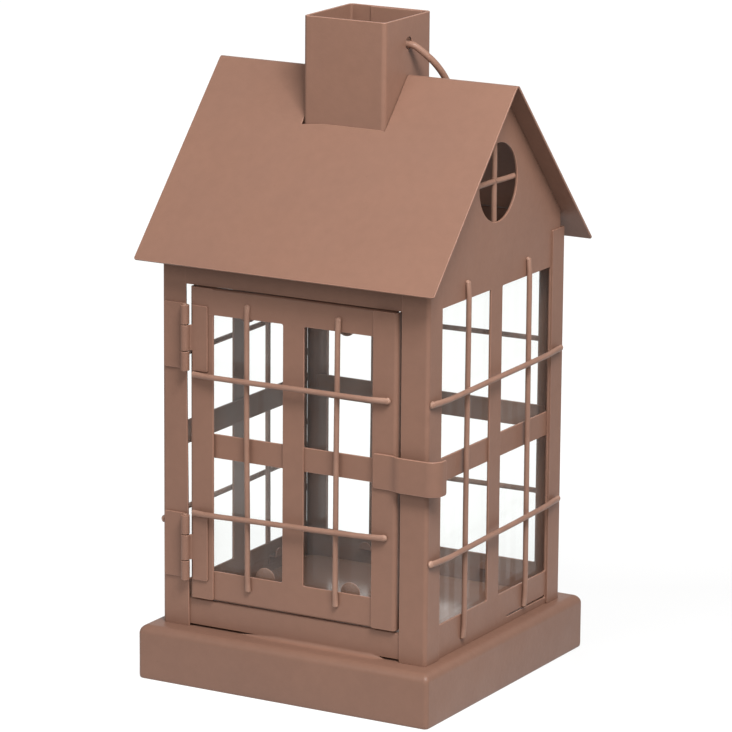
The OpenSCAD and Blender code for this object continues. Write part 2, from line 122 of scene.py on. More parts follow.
class Graph:
    """Short spellings for building a material's nodes."""

    def __init__(self, name):
        self.mat = bpy.data.materials.new(name)
        self.mat.use_nodes = True
        self.tree = self.mat.node_tree
        self.tree.nodes.clear()
        self.out = self.add("OutputMaterial")

    def add(self, kind, **settings):
        node = self.tree.nodes.new("ShaderNode" + kind)
        for key, value in settings.items():
            setattr(node, key, value)
        return node

    def put(self, socket, value):
        if isinstance(value, bpy.types.NodeSocket):
            self.tree.links.new(value, socket)
        else:
            socket.default_value = value

    def noise(self, scale, detail, rough):
        n = self.add("TexNoise")
        self.put(n.inputs["Vector"], self.coords())
        self.put(n.inputs["Scale"], scale)
        self.put(n.inputs["Detail"], detail)
        self.put(n.inputs["Roughness"], rough)
        return n.outputs["Fac"]

    def coords(self):
        if not hasattr(self, "_coords"):
            self._coords = self.add("TexCoord").outputs["Object"]
        return self._coords

    def ramp(self, value, low, high, to_low=0.0, to_high=1.0):
        n = self.add("MapRange")
        for socket, v in zip(n.inputs[:5], (value, low, high, to_low, to_high)):
            self.put(socket, v)
        return n.outputs[0]

    def math(self, op, a, b):
        n = self.add("Math", operation=op)
        self.put(n.inputs[0], a)
        self.put(n.inputs[1], b)
        return n.outputs[0]

    def mix(self, fac, a, b, kind="MIX"):
        n = self.add("Mix", data_type="RGBA", blend_type=kind)
        self.put(n.inputs[0], fac)
        self.put(n.inputs[6], a)
        self.put(n.inputs[7], b)
        return n.outputs[2]

    def bump(self, height, distance, normal=None, strength=1.0):
        n = self.add("Bump")
        self.put(n.inputs["Strength"], strength)
        self.put(n.inputs["Distance"], distance)
        self.put(n.inputs["Height"], height)
        if normal is not None:
            self.put(n.inputs["Normal"], normal)
        return n.outputs[0]


PAINT = (0.19, 0.101, 0.071, 1)
PAINT_WARM = (0.202, 0.106, 0.073, 1)
# Painted highlight colour for the sharp convex edges
PAINT_HIGHLIGHT = (0.36, 0.217, 0.16, 1)
# Dark tone: painted shade in the hollows, and also the small dark specks in the paint
PAINT_DARK = (0.123, 0.059, 0.041, 1)


def paint_material(name, rough=0.42, peel=1.0, tint=1.0, gloss=0.3, edge_light_and_shade=False):
    """Satin brown paint. peel scales its ripple, tint its lightness; the last flag paints a highlight onto
    the high spots and paints shade into the hollows."""
    g = Graph(name)
    bsdf = g.add("BsdfPrincipled")
    patches = g.ramp(g.noise(22, 3, 0.55), 0.35, 0.68)
    colour = g.mix(patches, PAINT, PAINT_WARM)
    fine = g.ramp(g.noise(260, 4, 0.6), 0.3, 0.7, 0.97, 1.03)
    colour = g.mix(1.0, colour, fine, "MULTIPLY")
    if edge_light_and_shade:
        # Painted highlight on the convex edges and painted shade in the hollows, both read from pointiness
        point = g.add("NewGeometry").outputs["Pointiness"]
        lit_edge = g.ramp(point, 0.515, 0.58)
        lit_edge = g.math("MULTIPLY", lit_edge, g.ramp(g.noise(140, 3, 0.6), 0.3, 0.65, 0.35, 0.9))
        colour = g.mix(lit_edge, colour, PAINT_HIGHLIGHT)
        # Painted shade: darker where the surface is hollow
        hollow_shade = g.ramp(point, 0.485, 0.44, 0.0, 0.6)
        colour = g.mix(hollow_shade, colour, PAINT_DARK)
    specks = g.ramp(g.noise(900, 2, 0.5), 0.74, 0.78, 0.0, 0.35)
    colour = g.mix(specks, colour, PAINT_DARK)
    if tint != 1.0:
        colour = g.mix(1.0, colour, (tint, tint, tint, 1), "MULTIPLY")
    g.put(bsdf.inputs["Base Color"], colour)
    g.put(bsdf.inputs["Roughness"], g.ramp(g.noise(60, 3, 0.6), 0.3, 0.7, rough - 0.06, rough + 0.06))
    g.put(bsdf.inputs["IOR"], 1.45)
    g.put(bsdf.inputs["Specular IOR Level"], gloss)
    wave = g.bump(g.noise(38, 1, 0.4), 0.0007 * peel, strength=0.35)
    skin = g.bump(g.noise(620, 2, 0.45), 0.00006 * peel, wave, 0.8)
    grain = g.bump(g.noise(2400, 2, 0.5), 0.000012 * peel, skin, 0.7)
    g.put(bsdf.inputs["Normal"], grain)
    g.tree.links.new(bsdf.outputs[0], g.out.inputs[0])
    return g.mat


def glass_material():
    """Thin clear glass: see-through, with a film of dust and a reflection that grows edge-on."""
    g = Graph("pane_glass")
    facing = g.add("LayerWeight").outputs["Facing"]
    gloss = g.math("MULTIPLY_ADD", g.math("POWER", facing, 5.0), 0.6)
    gloss.node.inputs[2].default_value = 0.018
    clear = g.add("BsdfTransparent")
    tone = g.ramp(g.noise(12, 2, 0.5), 0.3, 0.7)
    g.put(clear.inputs["Color"], g.mix(tone, (0.99, 0.995, 0.992, 1), (0.984, 0.992, 0.988, 1)))
    shine = g.add("BsdfGlossy")
    g.put(shine.inputs["Roughness"], g.ramp(g.noise(30, 3, 0.6), 0.3, 0.7, 0.01, 0.05))
    dust = g.add("BsdfDiffuse")
    g.put(dust.inputs["Color"], g.mix(tone, (0.012, 0.0115, 0.011, 1), (0.016, 0.0155, 0.015, 1)))
    hazy = g.add("AddShader")
    for socket, value in zip(hazy.inputs, (clear.outputs[0], dust.outputs[0])):
        g.put(socket, value)
    both = g.add("MixShader")
    for socket, value in zip(both.inputs, (gloss, hazy.outputs[0], shine.outputs[0])):
        g.put(socket, value)
    g.tree.links.new(both.outputs[0], g.out.inputs[0])
    return g.mat


# This paint carries the painted edge highlight and the painted shade in hollows
paint = paint_material("paint", edge_light_and_shade=True)
sheet_paint = paint_material("sheet_paint")
# Darker copy of the paint for the base: painted shade, where the base catches more floor light than the
# walls
base_shaded_paint = paint_material("base_shaded_paint", tint=0.88)
floor_paint = paint_material("floor_paint", rough=0.17, peel=0.25, tint=1.15, gloss=0.9)
# Lighter, glossier copy of the paint for the rounded edges: a painted highlight along every edge
edge_highlight_paint = paint_material("edge_highlight_paint", rough=0.36, tint=1.42, gloss=0.4)
glass = glass_material()
for name, obj in nodes.items():
    obj.data.materials.clear()
    obj.data.materials.append(glass if name.endswith("_glass") else paint)

# ---------------------------------------------------------------- building pieces


def even_normals(mesh, limit):
    """Shading normals led by the large faces, so that a sheet looks flat up to its rounded edge."""
    around = [[] for _ in mesh.vertices]
    for face in mesh.polygons:
        for v in face.vertices:
            around[v].append(face.index)
    facing = [face.normal.copy() for face in mesh.polygons]
    weight = [face.area * (EDGE_WEIGHT if face.material_index else 1.0) for face in mesh.polygons]
    corners = []
    for face in mesh.polygons:
        for v in face.vertices:
            total = Vector()
            for other in around[v]:
                if facing[face.index].dot(facing[other]) > limit:
                    total += facing[other] * weight[other]
            corners.append(total.normalized() if total.length else facing[face.index])
    mesh.normals_split_custom_set(corners)


def finish_piece(name, bm, body, replaced, mat=None):
    """Turn a mesh built in mm into a painted object that rides a body and replaces CAD nodes."""
    bmesh.ops.remove_doubles(bm, verts=bm.verts, dist=0.0005)
    bmesh.ops.recalc_face_normals(bm, faces=bm.faces)
    for v in bm.verts:
        v.co *= MM
    mesh = bpy.data.meshes.new(name)
    bm.to_mesh(mesh)
    bm.free()
    mesh.shade_smooth()
    even_normals(mesh, math.cos(math.radians(SHARP_ANGLE)))
    folded = any(face.material_index for face in mesh.polygons)
    mesh.materials.append(mat or (sheet_paint if folded else paint))
    # Rounded edge faces take the second material: the painted edge highlight, or glass on panes
    mesh.materials.append(mat if mat is glass else edge_highlight_paint)
    obj = bpy.data.objects.new(name, mesh)
    scene.collection.objects.link(obj)
    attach(obj, body)
    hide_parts(*replaced)


def convex(loop):
    """Whether the outline turns the same way at every corner."""
    turns = [(b[0] - a[0]) * (c[1] - b[1]) - (b[1] - a[1]) * (c[0] - b[0])
             for a, b, c in zip(loop, loop[1:] + loop[:1], loop[2:] + loop[:2])]
    return min(turns) > -1e-6 or max(turns) < 1e-6


def inset_loop(loop, by, hole):
    """The loop moved by that much into the material."""
    area = sum(a[0] * b[1] - b[0] * a[1] for a, b in zip(loop, loop[1:] + loop[:1]))
    sign = 1 if (area > 0) != hole else -1
    points = [Vector(p) for p in loop]
    moved = []
    for a, b, c in zip(points[-1:] + points[:-1], points, points[1:] + points[:1]):
        d1, d2 = (b - a).normalized(), (c - b).normalized()
        n1, n2 = Vector((-d1.y, d1.x)), Vector((-d2.y, d2.x))
        moved.append(b + (n1 + n2) * (by * sign / max(0.2, 1 + n1.dot(n2))))
    return moved


def skin(bm, a, b):
    """A band of faces between two rings of as many points; gives the faces back."""
    turned = a[1:] + a[:1], b[1:] + b[:1]
    return [bm.faces.new(corners) for corners in zip(a, turned[0], turned[1], b)]


def slab(loops, w0, w1, edge, step=0, segments=2):
    """Closed flat blank: outline and holes in (u, v), thickness w0..w1, edges rounded by edge."""
    bm = bmesh.new()
    angles = [math.pi / 2 * k / segments for k in range(segments + 1)] if edge else [math.pi / 2]
    levels = [(edge * (1 - math.sin(a)), w0 + edge * (1 - math.cos(a))) for a in angles]
    levels += [(inset, w0 + w1 - w) for inset, w in reversed(levels)]
    stacks = [[[bm.verts.new((p[0], p[1], w)) for p in inset_loop(loop, inset, n > 0)]
               for inset, w in levels] for n, loop in enumerate(loops)]
    for stack in stacks:
        for k, (a, b) in enumerate(zip(stack, stack[1:])):
            for face in skin(bm, a, b):
                # The rounded edge rows get the second material, which paints a highlight on them
                face.material_index = 0 if k == len(angles) - 1 else 1
    for end in (0, -1):
        rims = [bm.edges.get(pair) for stack in stacks
                for pair in zip(stack[end], stack[end][1:] + stack[end][:1])]
        for face in bmesh.ops.triangle_fill(bm, edges=rims, use_beauty=True)["geom"]:
            if isinstance(face, bmesh.types.BMFace):
                face.material_index = 0
    bmesh.ops.recalc_face_normals(bm, faces=bm.faces)
    if len(loops) == 1 and convex(loops[0]):
        bmesh.ops.dissolve_limit(bm, angle_limit=0.002, verts=bm.verts[:], edges=bm.edges[:])
    if step:
        cut(bm, 0, step)
        cut(bm, 1, step)
    return bm


def cut(bm, axis, step=0, places=()):
    """Cross cuts through the mesh, at places or evenly about step apart."""
    values = [v.co[axis] for v in bm.verts]
    low, high = min(values), max(values)
    if step:
        count = int((high - low) / step)
        places = [low + (high - low) * i / (count + 1) for i in range(1, count + 1)]
    normal = Vector([1.0 if i == axis else 0.0 for i in range(3)])
    for place in places:
        if low < place < high:
            bmesh.ops.bisect_plane(bm, geom=bm.verts[:] + bm.edges[:] + bm.faces[:], dist=1e-5,
                                   plane_co=normal * place, plane_no=normal)


def shape(bm, to_world):
    """Move every point to where to_world puts it."""
    for v in bm.verts:
        v.co = Vector(to_world(*v.co))
    return bm


def join(*parts):
    """Several closed meshes as one."""
    whole = parts[0]
    for bm in parts[1:]:
        mesh = bpy.data.meshes.new("join")
        bm.to_mesh(mesh)
        bm.free()
        whole.from_mesh(mesh)
        bpy.data.meshes.remove(mesh)
    return whole


def route(start, heading, parts, every=9):
    """The line a strip follows: ("go", length) and ("turn", radius, degrees). Gives the
    point and heading at s, the places to cut for the bends, and the whole length."""
    runs, cuts, s = [], [], 0.0
    p, h = Vector(start), math.radians(heading)
    for kind, size, *angle in parts:
        if kind == "go":
            runs.append((s, p.copy(), h, 0.0))
            p += size * Vector((math.cos(h), math.sin(h)))
            s += size
        else:
            turn = math.radians(angle[0])
            length = abs(turn) * size
            runs.append((s, p.copy(), h, turn / length))
            pieces = max(2, int(abs(angle[0]) / every))
            cuts += [s + length * i / pieces for i in range(pieces + 1)]
            r = length / turn
            centre = p + r * Vector((-math.sin(h), math.cos(h)))
            h += turn
            p = centre - r * Vector((-math.sin(h), math.cos(h)))
            s += length

    def at(s):
        start_s, q, a, bend = [run for run in runs if run[0] <= s + 1e-9][-1] if s > 0 else runs[0]
        d = s - start_s
        if not bend:
            return q + d * Vector((math.cos(a), math.sin(a))), a
        centre = q + Vector((-math.sin(a), math.cos(a))) / bend
        a += bend * d
        return centre - Vector((-math.sin(a), math.cos(a))) / bend, a

    return at, cuts, s


def upright(a, b, v):
    """For strips whose bends run upwards: the route lies in (x, y)."""
    return a, b, v


def sideways(a, b, v):
    """For strips whose bends run from left to right: the route lies in (y, z)."""
    return v, a, b


def bent(loops, w0, w1, line, to_world, edge=0.2, step=0, segments=2, step_v=None):
    """Blank cut flat in (s, v), then bent along a route; w is measured to the route's left."""
    at, cuts, _ = line
    bm = slab(loops, w0, w1, edge, 0, segments)
    cut(bm, 0, places=cuts)
    if step:
        cut(bm, 0, step)
        cut(bm, 1, step_v or step)

    def place(s, v, w):
        p, h = at(s)
        return to_world(p.x - w * math.sin(h), p.y + w * math.cos(h), v)

    return shape(bm, place)


def rect(u0, u1, v0, v1, r=0.0, steps=3):
    """Rectangle, its corners rounded by r."""
    if r <= 0:
        return [(u0, v0), (u1, v0), (u1, v1), (u0, v1)]
    points = []
    corners = ((u1 - r, v0 + r, -90), (u1 - r, v1 - r, 0), (u0 + r, v1 - r, 90), (u0 + r, v0 + r, 180))
    for cu, cv, a0 in corners:
        for i in range(steps + 1):
            a = math.radians(a0 + 90 * i / steps)
            points.append((cu + r * math.cos(a), cv + r * math.sin(a)))
    return points


def ring(cu, cv, r, count=64):
    """Round loop about (cu, cv)."""
    return [(cu + r * math.cos(2 * math.pi * i / count), cv + r * math.sin(2 * math.pi * i / count))
            for i in range(count)]


def on(side, u, d, z):
    """A point on a wall: u along it, d inwards from the sheet's outer face, z up."""
    if side == "right":
        return FACE_X - d, u, z
    if side == "left":
        return -FACE_X + d, u, z
    if side == "back":
        return -u, FACE_Y - d, z
    if side == "front":
        return u, -FACE_Y + d, z
    return u, DOOR_Y + d, z


def plate(side, loops, d0, d1, edge=0.18, step=11):
    """Flat sheet on a wall, between depths d0 and d1 from the wall's outer face."""
    return shape(slab(loops, d0, d1, edge, step), lambda u, z, d: on(side, u, d, z))


def close(bm, rings):
    """Bands between successive rings, and a face over each end."""
    for a, b in zip(rings, rings[1:]):
        skin(bm, a, b)
    bm.faces.new(list(reversed(rings[0])))
    bm.faces.new(rings[-1])
    return bm


def tube(points, radius, normal, squash=None, sides=14):
    """Round wire through points, with rounded ends. normal is the way it lies against; squash
    gives, for each point, (across, towards) factors on the radius."""
    bm = bmesh.new()
    normal = Vector(normal).normalized()
    points = [Vector(p) for p in points]
    squash = list(squash or [(1, 1)] * len(points))
    for at_end in (0, 1):
        i, j = (0, 1) if at_end == 0 else (-1, -2)
        away = (points[i] - points[j]).normalized()
        base, (fa, fb) = points[i].copy(), squash[i]
        caps = [(base + away * radius * 0.5 * math.sin(t),
                 (fa * math.cos(t) ** 0.5, fb * math.cos(t) ** 0.5)) for t in (0.6, 1.1, 1.45)]
        for p, f in caps:
            if at_end == 0:
                points.insert(0, p)
                squash.insert(0, f)
            else:
                points.append(p)
                squash.append(f)
    rings = []
    for k, p in enumerate(points):
        a = points[max(0, k - 1)]
        b = points[min(len(points) - 1, k + 1)]
        t = (b - a).normalized()
        n = (normal - t * normal.dot(t)).normalized()
        side = t.cross(n)
        fa, fb = squash[k]
        rings.append([bm.verts.new(p + side * radius * fa * math.cos(q) + n * radius * fb * math.sin(q))
                      for q in (2 * math.pi * i / sides for i in range(sides))])
    return close(bm, rings)


def blob(centre, radii, seed, rough=0.16):
    """Lump of weld or solder under the paint."""
    bm = bmesh.new()
    bmesh.ops.create_icosphere(bm, subdivisions=2, radius=1)
    for v in bm.verts:
        lump = 1 + rough * noise.noise(v.co * 1.7 + Vector((seed * 3.7, seed * 1.3, 0)))
        v.co = Vector([c + lump * r * x for c, r, x in zip(centre, radii, v.co)])
    return bm


# ---------------------------------------------------------------- base and floor


def pan_ring(inset, z, bulge=0.0):
    """Points round the base pan, inset from its outside; bulge swells the middle of each side."""
    hx, hy = pan_hi[0] - inset, pan_hi[1] - inset
    r = max(0.4, 1.7 - 0.4 * inset)
    corner_steps, side_steps = 6, 12
    points = []
    for sx, sy, a0 in ((1, 1, 0), (-1, 1, 90), (-1, -1, 180), (1, -1, 270)):
        for i in range(corner_steps + 1):
            a = math.radians(a0 + 90 * i / corner_steps)
            points.append(Vector((sx * (hx - r) + r * math.cos(a), sy * (hy - r) + r * math.sin(a), z)))
        start = points[-1].copy()
        nx, ny = ((-1, 1), (-1, -1), (1, -1), (1, 1))[a0 // 90]
        end_x, end_y = (hx, hy - r) if a0 in (90, 270) else (hx - r, hy)
        end = Vector((nx * end_x, ny * end_y, z))
        for i in range(1, side_steps):
            t = i / side_steps
            p = start.lerp(end, t)
            swell = bulge * (math.sin(math.pi * t) ** 0.6)
            if a0 in (90, 270):
                p.x += math.copysign(swell, p.x)
            else:
                p.y += math.copysign(swell, p.y)
            points.append(p)
    return points


def make_base():
    """Base pan pressed from one sheet: sides, rolled shoulder, top, and the same again inside."""
    bm = bmesh.new()
    top, roll, thick = pan_hi[2], 3.2, 1.2
    roll_steps = 8
    # Each row is (inset, height, bulge): up the outside and over the top, then back underneath
    profile = [(0.45, 0.0, 0), (0.12, 0.35, 0), (0.0, 1.2, 0.06)]
    profile += [(0.0, z, 0.42 * math.sin(math.pi * z / 18)) for z in (3, 5, 7, 9, 11, 13, 15)]
    for i in range(roll_steps + 1):
        a = math.radians(90 * i / roll_steps)
        profile.append((roll * (1 - math.cos(a)), top - roll + roll * math.sin(a), 0.12 * math.cos(a)))
    profile += [(8, top, 0), (20, top, 0), (40, top + 0.1, 0)]
    under = [(40, top - thick, 0), (20, top - thick, 0), (roll, top - thick, 0),
             (thick + 0.7, top - thick - 0.5, 0), (thick, top - thick - 1.6, 0), (thick, 9, 0),
             (thick, 1.2, 0), (thick - 0.12, 0.35, 0), (thick - 0.45, 0.0, 0)]
    rings = [[bm.verts.new(p) for p in pan_ring(*row)] for row in profile + under]
    split = len(profile)
    for k in range(len(rings)):
        if k != split - 1:
            skin(bm, rings[k], rings[(k + 1) % len(rings)])
    bm.faces.new(rings[split - 1])
    bm.faces.new(list(reversed(rings[split])))
    # The base takes the darker, shaded copy of the paint
    finish_piece("base_pan_folded", bm, "lantern", ["base_pan"], base_shaded_paint)


def make_floor():
    """Candle plate, curled up a little at its rim and not quite flat."""
    curl, from_edge, wave, wave_length = 0.35, 0.2, 0.15, 28
    bm = slab([rect(floor_lo[0], floor_hi[0], floor_lo[1], floor_hi[1], 5, 6)],
              floor_lo[2], floor_hi[2], 0.4, 14)
    for v in bm.verts:
        out = max(abs(v.co.x) / floor_hi[0], abs(v.co.y) / floor_hi[1])
        lift = curl * max(0.0, out - (1 - from_edge)) / from_edge
        v.co.z += lift + wave * noise.noise(v.co / wave_length)
    finish_piece("floor_plate_rolled", bm, "lantern", ["floor_plate"], floor_paint)


# ---------------------------------------------------------------- posts and walls


# Slits along the back posts' bends, (low, high) in z
POST_SLITS = ((34, 46), (49, 62), (65, 72), (74, 89), (92, 99), (101, 111), (113, 118), (121, 132),
              (135, 144))


def make_post(sx, sy):
    """Corner post folded from a strip; the back ones are slit along the fold."""
    name = f"post_{'front' if sy < 0 else 'back'}_{'left' if sx < 0 else 'right'}"
    lo, hi = extent(name)
    face = hi[0] - lo[0]
    line = route((sx * (HALF_W - face), sy * HALF_D), 0 if sx > 0 else 180,
                 [("go", face - BEND_R), ("turn", BEND_R, 90 if sx * sy < 0 else -90),
                  ("go", FLANGE - BEND_R)])
    side = 1 if sx * sy < 0 else -1
    w = sorted((0, side * SHEET))
    loops = [rect(0, line[2], lo[2], hi[2], 0.5)]
    if sx < 0 and sy < 0:
        flare = 1.4
        loops = [[(-flare, lo[2]), (line[2], lo[2]), (line[2], hi[2]), (0, hi[2])]]
    if sy > 0:
        middle = face - BEND_R + math.pi * BEND_R / 4
        for i, (z0, z1) in enumerate(POST_SLITS):
            z0 += 1.2 * noise.noise(Vector((i * 1.7, sx, 0)))
            loops.append(rect(middle - 0.15, middle + 0.19, z0, z1))
    bm = bent(loops, w[0], w[1], line, upright, 0.2 if sy < 0 else 0.05, 11)
    finish_piece(name + "_folded", bm, "lantern", [name])


# Slit low in the right wall, ending in a small round hole: (along, up)
SLIT = [(11, 22.75), (11.3, 22.55), (39.3, 22.5), (39.6, 22.2), (40.2, 22.1), (40.7, 22.45),
        (40.8, 22.95), (40.5, 23.45), (39.9, 23.6), (39.4, 23.3), (11.3, 23.2), (11, 23.05)]


def windows(half):
    """The two window holes in a wall, from the mullion out to half."""
    return [rect(u0, u1, WINDOW_LOW, WINDOW_HIGH, 0.5)
            for u0, u1 in ((-half, -MULLION_HALF), (MULLION_HALF, half))]


def make_walls():
    """Right and left walls with their gables, the back wall, and the strip across each window."""
    for side in ("right", "left"):
        lo, hi = extent(side + "_wall")
        half = hi[1]
        slope = math.tan(math.radians(GABLE_SLOPE))
        rear = half - 1.3
        loops = [[(-half, lo[2]), (rear, lo[2]), (rear, hi[2] - slope * rear), (0, hi[2]),
                  (-half, hi[2] - slope * half)]]
        loops += windows(HALF_D - FLANGE)
        loops.append(ring(0, GABLE_WINDOW_Z, GABLE_WINDOW_R))
        if side == "right":
            loops.append(SLIT)
        bm = plate(side, loops, 0, SHEET, 0.16)
        finish_piece(side + "_wall_sheet", bm, "lantern", [side + "_wall"])
    loops = [rect(back_lo[0] + 0.5, back_hi[0] - 0.5, back_lo[2], back_hi[2], 0.4)]
    loops += windows(HALF_W - FLANGE)
    finish_piece("back_wall_sheet", plate("back", loops, 0, SHEET, 0.16), "lantern", ["back_wall"])
    for side in ("right", "left", "back"):
        lo, hi = extent(side + "_cross_rail")
        half = hi[0] if side == "back" else hi[1]
        bm = plate(side, [rect(-half, half, lo[2], hi[2], 0.4)], SHEET, 2 * SHEET, 0.2)
        finish_piece(side + "_cross_strip", bm, "lantern", [side + "_cross_rail"])


def flush_end(bm, edge, step, length, above, over=False):
    """Bring a sheet forward by step where it meets another's edge at x, easing off over length;
    with over it stays forward beyond that edge, otherwise it drops back behind."""
    cut(bm, 0, places=[edge - 0.7, edge - 0.1] + [edge + length * i / 12 for i in range(1, 12)])
    for v in bm.verts:
        if v.co.z > above and (over or v.co.x > edge - 0.4):
            t = max(0.0, min(1.0, 1 - (v.co.x - edge) / length))
            v.co.y -= step * t * t * (3 - 2 * t)


def make_front():
    """Header above the door, and the folded sill below it."""
    bm = plate("front", [rect(head_lo[0], head_hi[0], head_lo[2], head_hi[2], 0.3)], 0, SHEET, 0.2)
    flush_end(bm, FLANGE - HALF_W, step=HALF_D - FACE_Y - 0.02, length=36, above=head_lo[2] - 1)
    finish_piece("front_header_sheet", bm, "lantern", ["front_header"])
    half, lip = sill_hi[0], HALF_W - (front_hi[0] - front_lo[0])
    fold = 0.85
    face = sill_hi[2] - sill_lo[2] - fold
    line = route((-FACE_Y, sill_lo[2]), 90,
                 [("go", face), ("turn", fold, -90), ("go", sill_hi[1] + FACE_Y - fold)])
    blank = [(0, -half), (face, -half), (face, -lip), (line[2], -lip), (line[2], lip), (face, lip),
             (face, half), (0, half)]
    bm = bent([blank], -SHEET, 0, line, sideways, 0.2, 11)
    finish_piece("front_sill_folded", join(bm, weld_fill(-22, 37)), "lantern", ["front_sill"])


def weld_fill(x0, x1):
    """Smooth weld that closes the gap along the foot of the sill, running out at its ends."""
    bm = bmesh.new()
    section = ((0.4, 1.9), (0.03, 1.8), (-0.03, 1.3), (-0.2, 0.8), (-0.6, 0.38), (-1.3, 0.1),
               (-2.4, -0.05), (0.4, -0.05))
    steps, ease_in, ease_out = 40, 14, 5
    rings = []
    for i in range(steps + 1):
        x = x0 + (x1 - x0) * i / steps
        k = min(1.0, (x - x0) / ease_in, (x1 - x) / ease_out)
        k = max(0.02, k) * (1 + 0.12 * noise.noise(Vector((x / 9, 4.4, 0))))
        ys = [-FACE_Y + dy * (k if dy < 0 else 1) for dy, _ in section]
        zs = [pan_hi[2] + max(-0.05, dz * k) for _, dz in section]
        rings.append([bm.verts.new((x, y, z)) for y, z in zip(ys, zs)])
    return close(bm, rings)


# ---------------------------------------------------------------- wires


def wire(side, a, b, sink, nub, seed, reach=(8.0, 8.0)):
    """Guard wire from a to b, each (u, d, z). sink lets an end bend in onto what it is welded
    to, by that many mm, and squeezes it flat; nub adds the weld there."""
    a, b = Vector(a), Vector(b)
    length = (b - a).length
    count = max(12, int(length / 5))
    points, squash = [], []
    for i in range(count + 1):
        t = i / count
        s = t * length
        p = a.lerp(b, t)
        near = 0.0
        for end, dist in ((0, s), (1, length - s)):
            if sink[end] and dist < reach[end]:
                k = 0.5 + 0.5 * math.cos(math.pi * dist / reach[end])
                p.y += sink[end] * k
                near = max(near, k)
        swing = 0.25 * math.sin(math.pi * t) * noise.noise(Vector((t * 2.2, seed * 5.1, 0.7)))
        along_z = abs(b.z - a.z) > abs(b.x - a.x)
        p += Vector((swing, 0, 0)) if along_z else Vector((0, 0, swing))
        points.append(Vector(on(side, *p)))
        squash.append((1 + 0.15 * near, 1 - 0.2 * near))
    normal = Vector(on(side, 0, 1, 0)) - Vector(on(side, 0, 0, 0))
    parts = [tube(points, WIRE_R, normal, squash)]
    for end, p in ((0, points[0]), (1, points[-1])):
        if nub[end]:
            radii = [1.5 * nub[end] if abs(n) < 0.5 else 0.85 for n in normal]
            parts.append(blob(p + normal * 0.35, radii, seed + end))
    return join(*parts)


def make_wires():
    """Guard wires in front of each window, upright ones behind level ones, and the gable crosses."""
    # For each wall: the ends along it, then each wire's height at those ends
    level = {"right": ((-49.0, 46.4), (57.2, 59.2), (114.7, 116.15)),
             "left": ((-49.0, 49.0), (58.1, 58.9), (115.8, 116.6)),
             "back": ((-52.2, 52.2), (59.0, 58.0), (116.8, 115.6))}
    for side in ("right", "left", "back"):
        off = WIRE_OFF[side]
        parts = []
        for i, s in enumerate((-1, 1)):
            lean = (0.35, -0.25)[i]
            parts.append(wire(side, (s * off - lean, -1, 24.0), (s * off + lean, -1, 153.2),
                              (0.35, 0.35), (0.55, 0.6), seed=i + len(side), reach=(6, 6)))
        finish_piece(side + "_upright_wires", join(*parts), "lantern", [side + "_wires_vertical"])
        (u0, u1), low, high = level[side]
        parts = []
        for i, (z0, z1) in enumerate((low, high)):
            short = 3.6 if side == "left" and i else 0.0
            parts.append(wire(side, (u0 + short, -3, z0), (u1, -3, z1), (1.3, 0.9),
                              (0.4 if short else 0.9, 0), seed=i + 7 * len(side), reach=(9.0, 14.0)))
            for s in (-1, 1):
                z = z0 + (z1 - z0) * (s * off - u0) / (u1 - u0)
                parts.append(blob(on(side, s * off, -2, z), (0.8, 0.8, 0.8), i + s, 0.1))
        finish_piece(side + "_level_wires", join(*parts), "lantern", [side + "_wires_horizontal"])
    off = WIRE_OFF["door"]
    parts = []
    for i, s in enumerate((-1, 1)):
        parts.append(wire("door", (s * off - 0.2 * s, -1, 37.2), (s * off + 0.3 * s, -1, 141.3),
                          (0.35, 0.35), (0.55, 0.6), seed=i + 21, reach=(6, 6)))
    finish_piece("door_upright_wires", join(*parts), "door", ["door_wires_vertical"])
    parts = []
    for i, (z0, z1, right) in enumerate(((63.3, 65.2, 38.2), (114.4, 114.8, 39.2))):
        parts.append(wire("door", (-40.2, -3, z0), (right, -3, z1), (1.0, 1.0), (0.6, 0.8),
                          seed=i + 31))
        for s in (-1, 1):
            z = z0 + (z1 - z0) * (0.5 + s * 0.23)
            parts.append(blob(on("door", s * off, -2, z), (0.8, 0.8, 0.8), i + s, 0.1))
    finish_piece("door_level_wires", join(*parts), "door", ["door_wires_horizontal"])
    for side in ("right", "left"):
        z, half, depth = GABLE_WINDOW_Z, 17, SHEET + WIRE_R
        ends = (((0.2, depth, z - half), (-0.2, depth, z + half)),
                ((-half, depth, z + 0.3), (half, depth, z - 0.3)))
        parts = [wire(side, a, b, (0, 0), (0, 0), seed=41 + i) for i, (a, b) in enumerate(ends)]
        finish_piece(side + "_gable_cross", join(*parts), "lantern", [side + "_gable_bars"])


# ---------------------------------------------------------------- glass and its tabs


def make_panes():
    """Four glass panes, flat behind their walls and behind the door."""
    for side, axis in (("right", 1), ("left", 1), ("back", 0), ("door", 0)):
        name = side + "_glass"
        lo, hi = extent(name)
        depth = 2 * SHEET if side != "door" else lo[1] - DOOR_Y
        bm = plate(side, [rect(lo[axis], hi[axis], lo[2], hi[2], 0.8)], depth, depth + 2.0, 0.25, 0)
        body = "door" if side == "door" else "lantern"
        finish_piece(name + "_pane", bm, body, [name], glass)


def tab(side, u, base_d, z, up, reach, lean=0.0, half=4.0):
    """Bent tab from its foot at base_d, over the edge of the pane at z, to its round tongue."""
    foot, depth, gap, outer, inner = 3.8, 2.85, 0.1, 0.7, 0.15
    line = route((0, -foot), 90, [("go", foot - gap - outer), ("turn", outer, -90),
                                  ("go", depth - outer - inner), ("turn", inner, 90),
                                  ("go", reach + PANE_LAP - 0.05)], 15)
    end = line[2]
    blank = [(0.4, -half), (end - half, -half)]
    blank += [(end - half + half * math.cos(a), half * math.sin(a)) for a in
              (math.radians(-90 + 15 * i) for i in range(1, 12))]
    blank += [(end - half, half), (0.4, half), (0, half - 0.4), (0, 0.4 - half)]
    return bent([blank], -0.6, 0, line,
                lambda a, b, v: on(side, u + v + lean * b, base_d + a, z + up * b), 0.14)


